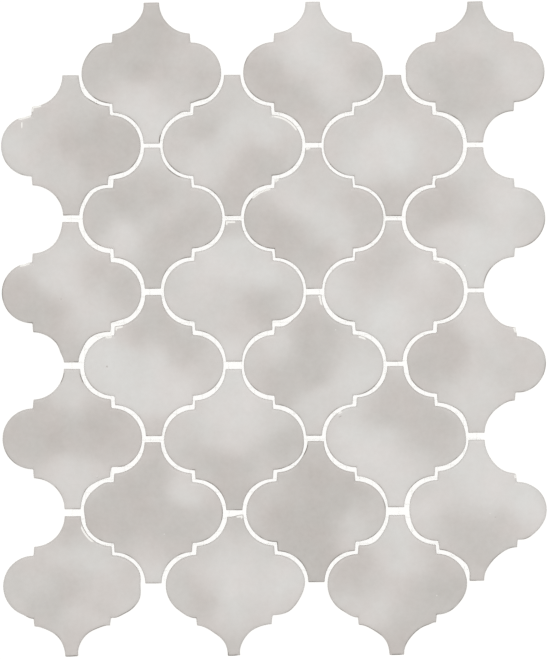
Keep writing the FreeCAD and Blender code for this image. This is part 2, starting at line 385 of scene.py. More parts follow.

# The spots, shifts and marks follow the photo. They were typed in after measuring it and
# comparing renders with it, with shifts rounded to 0.2 mm and the places of marks to 0.1 mm.
# In the marks below, dark lines along edges are painted shade, and pale lines and bands on upper
# edges are painted highlights.
LOOKS = {
    "tile_row_1_left": TileLook(
        (NECK, TOP, UPPER_LEFT), (LEFT, CENTRE, RIGHT), (LOWER_LEFT, BOTTOM), (FOOT,), marks=(
            painted_shade_edge(4.1, -30.2, 2.2, 2.0), painted_shade_edge(23.8, -12.3, 4.5, 1.5),
            painted_shade_edge(-23.6, -12.5, 4.5, 1.5), nip(22.0, -13.5, 5.0, 0.7),
            nip(14.5, -18.7, 5.0, 0.6), nip(-4.2, 29.0, 8.0, 0.5), swell(-24.0, 12.6, 8.0, 0.5),
            painted_shade_edge(-26.0, 10.5, 5.0, 1.4))),
    "tile_row_1_middle": TileLook(
        (LEFT, LOWER_LEFT), (RIGHT, BOTTOM), (TOP, UPPER_LEFT, CENTRE, LOWER_RIGHT), (NECK,),
        marks=(
            painted_shade_edge(-31.0, 5.4, 2.6, 1.6), nip(-4.2, 29.0, 12.0, 0.5), nip(4.0, 31.0, 8.0, 0.4))),
    "tile_row_1_right": TileLook(
        (), (NECK, CENTRE, LOWER_LEFT, BOTTOM), (TOP, RIGHT, FOOT), (), laid=(Nudge.DOWN,), marks=(
            pale_speck(-20.8, -10.0), nip(-4.2, 29.0, 12.0, 0.6), nip(-32.2, -0.4, 4.0, 0.5),
            painted_shade_edge(31.5, -5.0, 4.0, 1.4), nip(-6.9, -23.6, 7.0, 0.5))),
    "tile_row_2_left": TileLook(
        (CENTRE, RIGHT, LOWER_RIGHT), (UPPER_RIGHT, FOOT), (LEFT, BOTTOM), (),
        laid=(Nudge.UP, Nudge.UP), marks=(
            chip_and_highlight(-21.5, 13.4, 3.2, 0.4), painted_highlight_edge(-16.0, 18.0, 3.0), scratch(-22.4, 9.8, 1.8),
            painted_shade_edge(10.3, 20.0, 3.2, 1.4), nip(17.4, -16.5, 7.0, 0.9), nip(6.5, 24.3, 6.0, 0.6),
            nip(0.0, -32.4, 12.0, 0.5), nip(22.0, -13.3, 5.0, 0.5), nip(10.1, -20.5, 8.0, 0.6))),
    "tile_row_2_middle": TileLook(
        (LOWER_RIGHT,), (UPPER_LEFT, BOTTOM, FOOT), (UPPER_RIGHT, CENTRE, LOWER_LEFT), (),
        laid=(Nudge.UP,), marks=(
            painted_highlight_line(25.2, 12.2, 7.0), painted_shade_edge(-14.6, 18.2, 3.0, 1.4),
            painted_shade_edge(-26.8, -11.4, 3.0, 1.5))),
    "tile_row_2_right": TileLook(
        (FOOT,), (NECK,), (LOWER_LEFT,), (CENTRE,), batch=Batch.LIGHT,
        laid=(Nudge.LEFT, Nudge.LEFT, Nudge.DOWN)),
    "tile_row_3_left": TileLook(
        (UPPER_LEFT,), (TOP, LEFT, RIGHT, LOWER_RIGHT, BOTTOM, FOOT), (NECK,), (LOWER_LEFT,),
        laid=(Nudge.RIGHT, Nudge.UP, Nudge.UP, Nudge.UP), marks=(
            painted_shade_edge(9.9, 21.0, 4.5, 1.7), swell(-25.4, 11.8, 9.0, 0.7))),
    "tile_row_3_middle": TileLook(
        (LEFT, LOWER_LEFT), (RIGHT, BOTTOM), (CENTRE, UPPER_LEFT, LOWER_RIGHT), (),
        laid=(Nudge.UP,), marks=(
            painted_highlight_edge(-24.3, 12.8, 5.2), chip_and_highlight(-17.3, 18.1, 1.6, 0.3),
            painted_shade_edge(-29.6, 7.4, 3.5, 1.5), painted_highlight_edge(-2.6, 32.2, 1.2))),
    "tile_row_3_right": TileLook(
        (UPPER_LEFT,), (LEFT,), (NECK, LOWER_LEFT, LOWER_RIGHT, FOOT), (UPPER_RIGHT, BOTTOM),
        marks=(
            pale_speck(-5.0, -21.8), swell(-17.8, 16.2, 3.0, 0.7), painted_shade_edge(26.2, -11.3, 3.0, 1.6),
            painted_shade_edge(5.6, -26.0, 4.0, 1.6), painted_shade_edge(31.0, -5.5, 5.0, 1.5))),
    "tile_row_4_left": TileLook(
        (LEFT, LOWER_LEFT), (RIGHT, UPPER_RIGHT, FOOT), (UPPER_LEFT, TOP, CENTRE, LOWER_RIGHT), (),
        laid=(Nudge.UP,), marks=(
            chip_and_highlight(-21.7, 13.6, 2.6, 0.4), pinhole(-4.8, -2.9, 0.3), painted_shade_edge(-31.0, 5.4, 2.4, 1.5),
            nip(9.5, -22.4, 10.0, 0.9), nip(22.0, -13.4, 6.0, 0.6), swell(-5.0, -27.4, 5.0, 0.6),
            nip(0.5, -32.4, 12.0, 0.4), nip(3.9, -31.0, 7.0, 0.7), swell(-4.2, 29.0, 10.0, 0.5),
            nip(4.0, 31.0, 7.0, 0.4), painted_shade_edge(-31.6, -0.3, 4.0, 1.6))),
    "tile_row_4_middle": TileLook(
        (LOWER_RIGHT,), (NECK,), (UPPER_LEFT, UPPER_RIGHT, FOOT), (TOP,), batch=Batch.LIGHT,
        laid=(Nudge.RIGHT, Nudge.UP, Nudge.UP, Nudge.UP), marks=(
            painted_highlight_line(-1.6, 32.2, 3.0), swell(29.0, -8.6, 7.0, 0.5), nip(18.2, -14.2, 5.0, 0.5))),
    "tile_row_4_right": TileLook(
        (), (TOP, UPPER_LEFT, RIGHT), (LEFT, UPPER_RIGHT), (BOTTOM,), batch=Batch.PALE,
        laid=(Nudge.LEFT, Nudge.LEFT, Nudge.UP), marks=(
            painted_highlight_edge(22.3, 13.4, 2.0), painted_shade_edge(-23.3, -12.7, 5.0, 1.5))),
    "tile_row_5_left": TileLook(
        (NECK, UPPER_RIGHT), (TOP, FOOT), (CENTRE, LOWER_RIGHT), (LEFT, LOWER_LEFT, BOTTOM),
        batch=Batch.LIGHT, laid=(Nudge.RIGHT, Nudge.RIGHT, Nudge.UP), marks=(
            pinhole(-21.4, -0.4), chip_and_highlight(-20.5, 13.8, 1.8, 0.4), painted_highlight_line(-16.4, 18.5, 2.5))),
    "tile_row_5_middle": TileLook(
        (TOP, CENTRE, LOWER_LEFT), (), (UPPER_LEFT, RIGHT, LOWER_RIGHT, BOTTOM), (),
        laid=(Nudge.LEFT, Nudge.LEFT), marks=(
            painted_highlight_line(3.6, 29.8, 2.5), painted_highlight_line(22.4, 13.2, 2.0), nip(-14.0, 18.9, 6.0, 0.7),
            nip(-4.2, 29.0, 10.0, 0.5), pale_speck(10.2, 16.1), painted_shade_edge(25.9, -11.4, 4.0, 1.5))),
    "tile_row_5_right": TileLook(
        (LEFT, UPPER_LEFT), (), (NECK, TOP, BOTTOM), (), laid=(Nudge.UP, Nudge.UP, Nudge.UP),
        marks=(
            chip_and_highlight(18.0, 17.0, 1.6, 0.3), nip(21.5, 13.6, 15.0, 1.8, 12.0),
            nip(14.0, 19.0, 12.0, 1.1, 10.0), swell(18.8, 14.9, 12.0, 1.4, 8.0),
            nip(16.5, -18.3, 8.0, 0.8, 8.0), nip(0.0, -32.4, 12.0, 0.4), nip(-6.9, -23.6, 7.0, 0.5),
            nip(-32.0, -2.3, 6.0, 0.6), painted_shade_edge(31.5, -2.0, 4.0, 1.4))),
    "tile_row_6_left": TileLook(
        (CENTRE,), (LEFT, RIGHT, UPPER_LEFT, UPPER_RIGHT), (NECK, TOP, FOOT), (BOTTOM,),
        batch=Batch.FULL, laid=(Nudge.UP, Nudge.UP), marks=(
            pale_speck(11.3, -17.3), painted_shade_edge(4.6, 28.0, 3.0, 1.6), nip(19.0, -14.4, 6.0, 0.8),
            nip(17.5, -16.8, 5.0, 0.5), nip(6.7, -23.8, 7.0, 0.5), nip(1.0, 32.4, 12.0, 0.4),
            painted_shade_edge(-4.7, 28.2, 3.0, 1.6), painted_shade_edge(-29.0, -8.5, 4.0, 1.5))),
    "tile_row_6_middle": TileLook(
        (RIGHT, BOTTOM, FOOT), (LOWER_LEFT,), (UPPER_LEFT, UPPER_RIGHT, CENTRE), (NECK, TOP),
        laid=(Nudge.DOWN, Nudge.DOWN), marks=(
            painted_shade_edge(-9.5, -21.0, 4.5, 1.7), swell(30.2, -7.0, 9.0, 0.6))),
    "tile_row_6_right": TileLook(
        (TOP, UPPER_RIGHT), (RIGHT,), (LEFT, BOTTOM, FOOT), (LOWER_LEFT,), batch=Batch.LIGHT,
        laid=(Nudge.UP, Nudge.UP, Nudge.UP), marks=(
            chip_and_highlight(-25.8, 11.8, 1.3, 0.4), pinhole(-25.3, 9.6, 0.3),
            swell(31.0, -5.0, 9.0, 0.6, 8.0))),
    "tile_row_7_left": TileLook(
        (UPPER_LEFT, LEFT, CENTRE, LOWER_RIGHT), (NECK, TOP, RIGHT, LOWER_LEFT), (FOOT,),
        (UPPER_RIGHT,), laid=(Nudge.LEFT, Nudge.DOWN), marks=(
            pale_speck(5.1, -9.8), painted_shade_edge(31.6, -0.5, 3.0, 1.5), nip(-32.2, -2.0, 6.0, 0.6),
            swell(-22.0, 13.4, 5.0, 0.5))),
    "tile_row_7_middle": TileLook(
        (TOP, CENTRE, LOWER_LEFT, BOTTOM, FOOT), (UPPER_RIGHT,), (LOWER_RIGHT,), (),
        batch=Batch.DEEP, laid=(Nudge.RIGHT, Nudge.RIGHT), marks=(
            painted_shade_edge(-4.6, 28.4, 3.0, 1.8), painted_shade_edge(-19.0, -15.0, 4.0, 1.7),
            swell(-6.0, 25.4, 8.0, 0.4), painted_shade_edge(31.6, 3.5, 2.8, 1.5))),
    "tile_row_7_right": TileLook(
        (), (BOTTOM, LOWER_LEFT, LOWER_RIGHT, FOOT), (NECK, UPPER_RIGHT, LEFT), (TOP, RIGHT),
        batch=Batch.LIGHT, laid=(Nudge.UP,), marks=(
            nip(13.5, 19.1, 12.0, 0.9, 10.0), nip(21.5, 13.6, 15.0, 0.9, 12.0),
            swell(17.8, 16.2, 12.0, 0.7, 8.0), chip_and_highlight(17.8, 16.8, 1.2, 0.3),
            nip(16.5, -18.3, 8.0, 1.1, 8.0), nip(28.5, -9.4, 10.0, 0.5, 8.0),
            swell(17.8, -16.2, 12.0, 0.7, 8.0), nip(-17.6, -17.0, 5.0, 0.5),
            nip(-32.2, -1.5, 16.0, 1.1, 10.0), nip(-5.3, -26.5, 8.0, 1.0),
            nip(3.9, -30.5, 8.0, 0.6), pinhole(8.5, -3.2, 0.3), pale_speck(6.0, -1.5, 0.3))),
    "tile_row_8_left": TileLook(
        (), (CENTRE, NECK, LOWER_LEFT, FOOT), (TOP, UPPER_RIGHT, BOTTOM), (), marks=(
            nip(32.2, 0.0, 7.5, 1.1), painted_highlight_line(7.0, 24.0, 5.2), nip(3.9, -31.0, 8.0, 1.5),
            nip(6.3, -24.4, 10.0, 1.4, 8.0), nip(17.6, -16.4, 10.0, 0.9, 8.0),
            swell(18.8, -14.0, 6.0, 0.9), swell(-12.5, -19.4, 9.0, 0.6),
            swell(-18.6, -14.0, 5.0, 1.0), nip(-0.6, 32.4, 12.0, 0.4),
            painted_shade_edge(0.0, -32.3, 3.4, 2.0), painted_shade_edge(24.4, -12.0, 5.5, 1.6),
            painted_shade_edge(12.4, -19.5, 4.0, 1.6))),
    "tile_row_8_middle": TileLook(
        (), (NECK, LOWER_LEFT, FOOT), (TOP, BOTTOM), (CENTRE, RIGHT),
        laid=(Nudge.RIGHT, Nudge.RIGHT), marks=(
            nip(-2.4, 32.4, 5.5, 1.0), painted_highlight_line(2.4, 32.2, 2.0), nip(30.0, -7.0, 12.0, 1.0, 8.0),
            nip(3.9, -31.0, 9.0, 1.8), nip(7.0, -23.4, 12.0, 1.6, 8.0),
            nip(17.6, -16.4, 10.0, 1.3, 8.0), swell(-18.6, -14.0, 9.0, 1.1),
            swell(-10.5, -21.3, 9.0, 1.1, 7.0), painted_shade_edge(-1.0, -32.3, 3.4, 2.0))),
    "tile_row_8_right": TileLook(
        (RIGHT, FOOT), (LEFT, UPPER_LEFT, LOWER_RIGHT), (NECK, TOP, LOWER_LEFT), (),
        laid=(Nudge.RIGHT, Nudge.RIGHT), marks=(
            painted_shade_edge(7.0, -24.0, 6.0, 1.6), nip(3.9, -30.5, 10.0, 0.8),
            nip(17.0, -18.2, 3.0, 0.6, 4.0), nip(-11.5, 19.8, 8.0, 0.8),
            swell(-18.6, -14.0, 7.0, 1.1), swell(-11.0, -20.7, 9.0, 0.9, 7.0),
            nip(29.0, -9.0, 10.0, 0.5, 8.0), nip(-0.8, 32.4, 12.0, 0.6),
            painted_shade_edge(0.0, -32.3, 3.4, 2.0), pale_speck(18.1, -5.2, 0.5))),
}


@dataclass(frozen=True)
class GlossGlaze:
    """Glossy dove-grey glaze, poured over the pressed body and fired.

    It gives the eye a glassy pale grey that is paler where the glaze ran thin over the white
    body and darker and warmer where it pooled, with a faint ripple in its reflections. Its
    darkest colour is painted shade along edges, and its body colour also paints highlights
    along upper edges.
    """

    name: str = "poured_dove_grey_gloss_glaze"
    thin: str = "#D9D7D4"
    middle: str = "#CDC9C5"
    thick: str = "#BDB8B3"
    # Pale body colour: bare body at specks, scratches and chips, and painted highlights along upper
    # edges.
    body: str = "#F6F4EF"
    # Darkest stop: painted shade along edges and on lower rims.
    painted_shade: str = "#7C7670"
    rosy: str = "#FFFDFD"
    leafy: str = "#FDFEFE"
    roughness: float = 0.12
    bare_and_highlight_roughness: float = 0.75
    ior: float = 1.5
    tint_size: float = 15.0
    mottle_size: float = 2.2
    mottle_detail: float = 5.0
    mottle_roughness: float = 0.65
    mottle_share: float = 0.36
    ripple_size: float = 3.0
    ripple_height: float = 0.010
    # Range of the bare attribute, which marks bare body and painted highlights.
    bare_and_highlight_from: float = 0.4
    bare_and_highlight_to: float = 0.6

    def build(self) -> bpy.types.Material:
        """Make the glaze, which reads the tiles' glaze_depth and bare attributes.

        The glaze_depth attribute also holds painted shade, and bare also holds painted highlights.
        """
        material, tree = new_material(self.name)
        place = add_node(tree, "ShaderNodeTexCoord").outputs["Object"]
        depth = add_node(tree, "ShaderNodeAttribute", attribute_name="glaze_depth")
        bare = add_node(tree, "ShaderNodeAttribute", attribute_name="bare")
        mottle = noise_pattern(tree, place, self.mottle_size, self.mottle_detail,
                               self.mottle_roughness)
        centred = compute(tree, "SUBTRACT", mottle, 0.5)
        mottled = compute(tree, "MULTIPLY_ADD", centred, self.mottle_share, depth.outputs["Fac"])
        half = compute(tree, "MULTIPLY", mottled, 0.5)
        # Glaze depths past 1, which reach the darkest stop, are painted shade from dark edge lines
        # and lower rims.
        glaze = colour_ramp(tree, half, {
            0.0: self.thin, 0.25: self.middle, 0.5: self.thick, 1.0: self.painted_shade})
        drift = noise_pattern(tree, place, self.tint_size, 1.0)
        tint = colour_ramp(tree, drift, {0.35: self.rosy, 0.65: self.leafy})
        tinted = mix_colours(tree, 1.0, glaze, tint, "MULTIPLY")
        # Where bare is high the glaze takes the body's pale, rough colour: bare body, and painted
        # highlights along upper edges.
        crisp = add_node(tree, "ShaderNodeMapRange", {
            "Value": bare.outputs["Fac"], "From Min": self.bare_and_highlight_from,
            "From Max": self.bare_and_highlight_to}).outputs["Result"]
        roughness = add_node(tree, "ShaderNodeMapRange", {
            "Value": crisp, "To Min": self.roughness, "To Max": self.bare_and_highlight_roughness})
        colour = mix_colours(tree, crisp, tinted, linear(self.body))
        ripple = noise_pattern(tree, place, self.ripple_size, 1.0)
        finish_surface(tree, ripple, self.ripple_height, {
            "Base Color": colour, "Roughness": roughness.outputs["Result"], "IOR": self.ior})
        return material


@dataclass(frozen=True)
class PressedBisque:
    """White earthenware body, dust-pressed and fired, left bare below the glaze line.

    It gives the eye a dry, chalky, warm white with a fine grain.
    """

    name: str = "pressed_white_bisque"
    pale: str = "#EFEBE2"
    warm: str = "#E2DACB"
    roughness: float = 0.85
    patch_size: float = 6.0
    grain_size: float = 0.5
    grain_height: float = 0.03

    def build(self) -> bpy.types.Material:
        """Make the bare body's material."""
        material, tree = new_material(self.name)
        place = add_node(tree, "ShaderNodeTexCoord").outputs["Object"]
        patches = noise_pattern(tree, place, self.patch_size, 4.0)
        colour = colour_ramp(tree, patches, {0.35: self.pale, 0.7: self.warm})
        grain = noise_pattern(tree, place, self.grain_size, 2.0)
        finish_surface(tree, grain, self.grain_height, {
            "Base Color": colour, "Roughness": self.roughness})
        return material


class YarnRun(Enum):
    """The way a yarn runs, given as how a pattern on it is stretched along X, Y and Z."""

    LENGTHWISE = (1.0, 0.05, 1.0)
    CROSSWISE = (0.05, 1.0, 1.0)


@dataclass(frozen=True)
class GlassYarn:
    """Glass-fibre yarn, soaked with clear resin and dried flat.

    It gives the eye a nearly clear, faintly milky thread with fine lines along it, so that it
    nearly vanishes against white. Soaked fibres bend light far less than bare glass does.
    """

    run: YarnRun
    name: str = "resin_coated_glass_yarn"
    pale: str = "#FFFFFE"
    milky: str = "#FCFCFA"
    roughness: float = 0.35
    ior: float = 1.05
    see_through: float = 0.97
    filament_size: float = 0.09
    filament_height: float = 0.02

    def build(self) -> bpy.types.Material:
        """Make the yarn's material, with its filaments drawn along the yarn."""
        material, tree = new_material(f"{self.name}_{self.run.name.lower()}")
        place = add_node(tree, "ShaderNodeTexCoord").outputs["Object"]
        stretched = add_node(tree, "ShaderNodeMapping", {"Vector": place, "Scale": self.run.value})
        filaments = noise_pattern(tree, stretched.outputs["Vector"], self.filament_size, 1.0)
        colour = colour_ramp(tree, filaments, {0.35: self.pale, 0.65: self.milky})
        finish_surface(tree, filaments, self.filament_height, {
            "Base Color": colour, "Roughness": self.roughness, "IOR": self.ior,
            "Transmission Weight": self.see_through})
        return material


@dataclass(frozen=True)
class StudioFloor:
    """Matt white sweep that shows as white to the camera and still takes a faint shadow.

    The joints and the sheet's shadow come out a little under white, as in a bright studio.
    """

    name: str = "matt_white_studio_floor"
    shown: str = "#FCFBF9"
    shadow_share: float = 0.10

    def build(self) -> bpy.types.Material:
        """Make the floor's material."""
        material, tree = new_material(self.name)
        glow = add_node(tree, "ShaderNodeEmission", {
            "Color": linear(self.shown), "Strength": seen_directly(tree)})
        shade = self.shadow_share
        matt = add_node(tree, "ShaderNodeBsdfDiffuse", {"Color": (shade, shade, shade, 1.0)})
        both = add_node(tree, "ShaderNodeAddShader", {
            0: glow.outputs["Emission"], 1: matt.outputs["BSDF"]})
        add_node(tree, "ShaderNodeOutputMaterial", {"Surface": both.outputs["Shader"]})
        return material


@dataclass(frozen=True)
class ArabesqueOutline:
    """Lantern outline of one tile about its own centre, in millimetres.

    One quarter runs from a bulb's tip over the bulb, up the step, along the hollow shoulder and
    to the middle of the neck's square end. The overall sizes and pitches come from the frame.
    """

    half_width: float
    half_height: float
    column_pitch: float
    row_pitch: float
    neck_width: float = 7.6
    bulb_joint: float = 1.45
    step_joint: float = 1.3
    step_height: float = 4.15
    step_slant_deg: float = 4.0
    bulb_points: int = 26
    step_points: int = 8
    shoulder_points: int = 30
    neck_points: int = 6
    corner_crowding: float = 0.7
    corner_rounding: tuple[float, ...] = (0.5, 0.45, 0.35, 0.2)
    rounding_passes: int = 3

    @property
    def bulb_radius(self) -> float:
        """Radius of a bulb."""
        return (self.row_pitch - self.step_height - self.bulb_joint) / 2

    @property
    def bulb_x(self) -> float:
        """How far a bulb's centre is from the tile's centre."""
        return self.half_width - self.bulb_radius

    @property
    def shoulder_radius(self) -> float:
        """Radius of a shoulder's hollow arc, centred level with the neck's end."""
        return self.bulb_radius + self.bulb_joint - (self.row_pitch - self.half_height)

    @property
    def shoulder_x(self) -> float:
        """How far a shoulder arc's centre is from the tile's long axis."""
        return self.neck_width / 2 + self.shoulder_radius

    def step_x(self, y: float, inset: float) -> float:
        """Return the half width, at height y, of the slanted line that a step lies on."""
        slant = math.radians(self.step_slant_deg)
        middle = self.column_pitch / 2 - (self.step_joint / 2 + inset) / math.cos(slant)
        return middle + (self.row_pitch / 2 - y) * math.tan(slant)

    def step_meets(self, centre: Point, radius: float, inset: float, side: int) -> Point:
        """Find where the step's line crosses a circle.

        Args:
            centre: The circle's centre.
            radius: The circle's radius.
            inset: How far the outline is moved inwards.
            side: 1 for the crossing above the centre, -1 for the one below it.

        Returns:
            The crossing point.
        """
        lean = math.tan(math.radians(self.step_slant_deg))
        offset = self.step_x(centre[1], inset) - centre[0]
        a = 1 + lean ** 2
        b = -2 * lean * offset
        rise = (-b + side * math.sqrt(b * b - 4 * a * (offset ** 2 - radius ** 2))) / (2 * a)
        return centre[0] + offset - lean * rise, centre[1] + rise

    def half_width_at(self, y: float, inset: float) -> float:
        """Return the half width at height y of the outline moved inwards, or 0 past its neck."""
        y = abs(y)
        bulb = self.bulb_radius - inset
        shoulder = self.shoulder_radius + inset
        if y >= self.half_height - inset:
            return 0.0
        if y >= self.step_meets((self.shoulder_x, self.half_height), shoulder, inset, -1)[1]:
            return self.shoulder_x - math.sqrt(shoulder ** 2 - (y - self.half_height) ** 2)
        if y >= self.step_meets((self.bulb_x, 0.0), bulb, inset, 1)[1]:
            return self.step_x(y, inset)
        return self.bulb_x + math.sqrt(bulb ** 2 - y ** 2)

    def crowd(self, share: float) -> float:
        """Shift a share from 0 to 1 so that points crowd towards both ends."""
        return share - self.corner_crowding * math.sin(2 * math.pi * share) / (2 * math.pi)

    def quarter(self, inset: float) -> list[Point]:
        """Return the points of one quarter, from the bulb's tip to the middle of the neck's end."""
        bulb = self.bulb_radius - inset
        shoulder = self.shoulder_radius + inset
        foot = self.step_meets((self.bulb_x, 0.0), bulb, inset, 1)
        head = self.step_meets((self.shoulder_x, self.half_height), shoulder, inset, -1)
        foot_angle = math.atan2(foot[1], foot[0] - self.bulb_x)
        head_angle = math.atan2(head[1] - self.half_height, head[0] - self.shoulder_x)
        corner_angle = -math.pi + math.asin(inset / shoulder)
        points = []
        for index in range(self.bulb_points):
            share = 2 * self.crowd(0.5 + index / self.bulb_points / 2) - 1
            angle = foot_angle * share
            points.append((self.bulb_x + bulb * math.cos(angle), bulb * math.sin(angle)))
        for index in range(self.step_points):
            share = self.crowd(index / self.step_points)
            points.append((foot[0] + (head[0] - foot[0]) * share,
                           foot[1] + (head[1] - foot[1]) * share))
        for index in range(self.shoulder_points):
            share = self.crowd(index / self.shoulder_points)
            angle = head_angle + (corner_angle - head_angle) * share
            points.append((self.shoulder_x + shoulder * math.cos(angle),
                           self.half_height + shoulder * math.sin(angle)))
        corner_x = self.shoulder_x + shoulder * math.cos(corner_angle)
        for index in range(self.neck_points + 1):
            share = 2 * self.crowd(index / self.neck_points / 2)
            points.append((corner_x * (1 - share), self.half_height - inset))
        return points

    def ring(self, inset: float) -> list[Point]:
        """Return the closed outline moved inwards, anticlockwise, with slightly round corners."""
        quarter = self.quarter(inset)
        inner = quarter[1:-1]
        points = (quarter + [(-x, y) for x, y in reversed(inner)]
                  + [(-x, -y) for x, y in quarter] + [(x, -y) for x, y in reversed(inner)])
        foot = self.bulb_points
        head = foot + self.step_points
        corner = head + self.shoulder_points
        half = 2 * (len(quarter) - 1)
        share = [0.0] * len(points)
        for turn in (foot, head, corner):
            for place in (turn, half - turn, half + turn, -turn):
                for distance, weight in enumerate(self.corner_rounding):
                    share[(place + distance) % len(points)] = weight
                    share[(place - distance) % len(points)] = weight
        for _ in range(self.rounding_passes):
            before = points
            points = []
            for index, (x, y) in enumerate(before):
                left = before[index - 1]
                right = before[(index + 1) % len(before)]
                points.append((x + share[index] * ((left[0] + right[0]) / 2 - x),
                               y + share[index] * ((left[1] + right[1]) / 2 - y)))
        return points


@dataclass(frozen=True)
class Level:
    """One ring of a tile's section, in millimetres.

    sway is the share of the glaze line's waviness that the ring follows, and lift is the share
    of the face's unevenness.
    """

    inset: float
    depth: float
    glazed: bool = True
    sway: float = 0.0
    lift: float = 0.0


@dataclass(frozen=True)
class Wobble:
    """The size in millimetres of a smooth noise, and the salt that sets it apart from others."""

    size: float
    salt: float


@dataclass
class GlazedTile:
    """One pressed, glazed and fired tile, which replaces its plain CAD node."""

    name: str
    outline: ArabesqueOutline
    centre: Vector
    base: float
    thickness: float
    seed: int
    look: TileLook
    rim_width: float = 1.9
    rim_drop: float = 1.0
    rim_steps: int = 9
    rim_share: float = 1.1
    glaze_line: float = 3.2
    glaze_sway: float = 0.7
    glaze_bead: float = 0.14
    bead_start: float = 0.4
    bead_shoulder: float = 0.1
    bead_shoulder_share: float = 0.3
    bead_end: float = 0.3
    side_sway: float = 0.4
    side_lift: float = 0.3
    level_foot: float = 2.0
    arris: float = 0.35
    face_grid: float = 1.5
    groove_depth: float = 0.6
    groove_width: float = 3.0
    groove_pitch: float = 8.0
    groove_border: float = 4.0
    groove_draft: float = 0.2
    cloud_strength: float = 0.42
    cloud_steepness: float = 1.3
    mild_share: float = 0.55
    cloud_spread: float = 7.5
    cloud_warp: float = 4.0
    drift_strength: float = 0.12
    fleck_strength: float = 0.08
    # Width of the pale and dark edge marks, and inset and width of the painted highlight line.
    edge_mark_width: float = 0.9
    highlight_inset: float = 0.75
    highlight_width: float = 0.5
    speck_size: float = 0.4
    scratch_size: float = 0.2
    scratch_step: float = 0.25
    scratch_sides: tuple[float, ...] = (-0.4, -0.13, 0.0, 0.13, 0.4)
    speck_rings: tuple[float, ...] = (0.6, 1.1, 1.9)
    speck_points: int = 8
    speck_clear: float = 1.4
    faint_share: float = 0.5
    pit_depth: float = 0.15
    # Painted shade on the outermost rim of lower edges: its strength, patches, which edges and how
    # far in.
    lower_rim_shade_depth: float = 0.9
    lower_rim_shade_patches: tuple[float, float] = (-0.15, 0.25)
    lower_rim_shade_slope: tuple[float, float] = (0.2, 0.7)
    lower_rim_shade_inset: tuple[float, float] = (0.2, 0.6)
    # Fades of the painted shade lines and of the pale edge marks, which are painted highlights and,
    # at chips, partly bare body.
    painted_shade_fade: tuple[float, float] = (0.3, 0.8)
    bare_and_highlight_fade: tuple[float, float] = (0.6, 1.2)
    speck_fade: tuple[float, float] = (0.5, 1.5)
    end_fade: tuple[float, float] = (0.7, 1.1)
    end_raggedness: float = 0.25
    seed_step: float = 7.31
    line_wobble: Wobble = Wobble(9.0, 3.0)
    warp_x_wobble: Wobble = Wobble(14.0, 11.0)
    warp_y_wobble: Wobble = Wobble(14.0, 23.0)
    drift_wobble: Wobble = Wobble(12.0, 31.0)
    fleck_wobble: Wobble = Wobble(5.0, 43.0)
    ragged_wobble: Wobble = Wobble(0.9, 57.0)
    # Patches of the painted shade on lower rims.
    lower_rim_shade_wobble: Wobble = Wobble(4.0, 71.0)
    points: list[Vector] = field(default_factory=list)
    faces: list[tuple[int, ...]] = field(default_factory=list)
    face_is_glazed: list[bool] = field(default_factory=list)
    face_is_smooth: list[bool] = field(default_factory=list)
    lift: list[float] = field(default_factory=list)
    inward: list[Vector] = field(default_factory=list)
    inset: list[float] = field(default_factory=list)

    @property
    def specks(self) -> list[Mark]:
        """The marks that lie on the face, away from the edge."""
        return [mark for mark in self.look.marks
                if mark.fault in (Fault.PINHOLE, Fault.PALE_SPECK, Fault.SCRATCH)]

    def levels(self) -> list[Level]:
        """Return the section's rings, from the face's edge over the rim and down to the back."""
        rings = []
        for index in range(self.rim_steps + 1):
            angle = math.pi / 2 * index / self.rim_steps
            rings.append(Level(self.rim_width * (1 - math.sin(angle)),
                               self.rim_drop * (1 - math.cos(angle)), lift=1.0))
        body = self.glaze_bead
        rings += [
            Level(0.0, (self.rim_drop + self.glaze_line) / 2, sway=self.side_sway,
                  lift=self.side_lift),
            Level(0.0, self.glaze_line - self.bead_start, sway=1.0),
            Level(body * self.bead_shoulder_share, self.glaze_line - self.bead_shoulder, sway=1.0),
            Level(body, self.glaze_line, sway=1.0),
            Level(body, self.glaze_line + self.bead_end, False, sway=1.0),
            Level(body, self.thickness - self.level_foot, False),
            Level(body, self.thickness - self.arris, False),
            Level(body + self.arris, self.thickness, False),
        ]
        return rings

    @property
    def rim_end(self) -> float:
        """Height above the back at which the marks on the rim end."""
        return self.thickness - self.rim_share * self.rim_drop

    def wobble(self, x: float, y: float, kind: Wobble) -> float:
        """Return smooth noise from about -1 to 1 that is this tile's own."""
        return noise.noise(Vector((x / kind.size, y / kind.size,
                                   self.seed * self.seed_step + kind.salt)))

    def add_point(self, x: float, y: float, z: float, lift: float = 0.0,
                  inward: Vector | None = None, inset: float = math.inf) -> int:
        """Add a vertex and return its number."""
        self.points.append(Vector((x, y, z)))
        self.lift.append(lift)
        self.inward.append(inward or Vector((0, 0, 0)))
        self.inset.append(inset)
        return len(self.points) - 1

    def add_face(self, corners: Iterable[int], glazed: bool, smooth: bool) -> None:
        """Add a face."""
        self.faces.append(tuple(corners))
        self.face_is_glazed.append(glazed)
        self.face_is_smooth.append(smooth)

    def add_band(self, first: list[int], second: list[int], glazed: bool, smooth: bool) -> None:
        """Add the faces between two rings of as many vertices."""
        for index in range(len(first)):
            after = (index + 1) % len(first)
            self.add_face((first[index], second[index], second[after], first[after]),
                          glazed, smooth)

